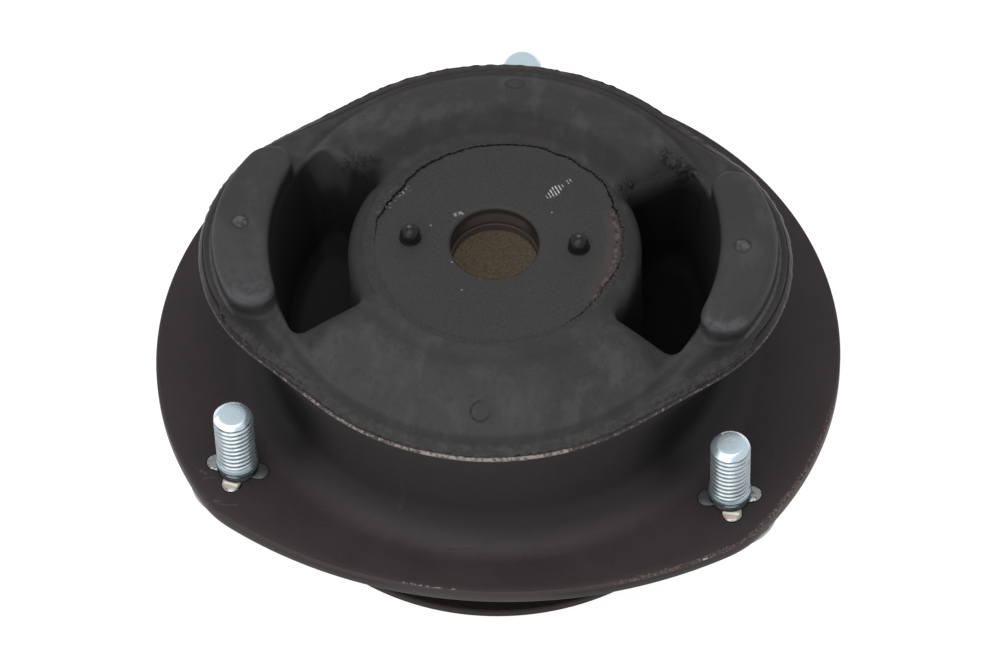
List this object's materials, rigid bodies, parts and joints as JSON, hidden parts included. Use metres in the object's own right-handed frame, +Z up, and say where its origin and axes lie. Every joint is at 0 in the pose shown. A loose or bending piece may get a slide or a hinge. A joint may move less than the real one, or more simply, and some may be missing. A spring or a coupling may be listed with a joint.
{
  "type": "strut mount",
  "caption": "Upper strut mount: a flared steel housing with press-in studs, a moulded rubber body and a holed steel core over a cup for the bump stop.",
  "frame": {"origin": "Under the middle of the flange's outline, on the plane that the cup's foot stands on. The bore axis crosses that plane 4.05 mm towards -Y.", "axes": "+Z up along the bore axis, the way the studs point; -Y towards the flattened front edge of the flange; +X towards the right ear and bumper pad seen from that front."},
  "size_m": [0.1346, 0.127, 0.0607],
  "materials": {
    "housing_coat": "satin brownish-black coat, worn to pale grey-brown along the edge of the mouth",
    "moulded_rubber": "matte, with faint pale bloom",
    "core_phosphate": "matte dark grey phosphate with small scratches",
    "cup_primer": "dull olive-brown phosphate, grainy",
    "pin_steel": "dark, slightly glossy",
    "zinc_plate": "bright bluish zinc plate"
  },
  "bodies": {
    "root": {"outer_housing": "housing_coat", "rubber_body": "moulded_rubber", "core_plate": "core_phosphate", "bump_stop_cup": "cup_primer", "locating_pin_left": "pin_steel", "locating_pin_right": "pin_steel", "stud_left": "zinc_plate", "stud_right": "zinc_plate", "stud_back": "zinc_plate"}
  },
  "joints": []
}
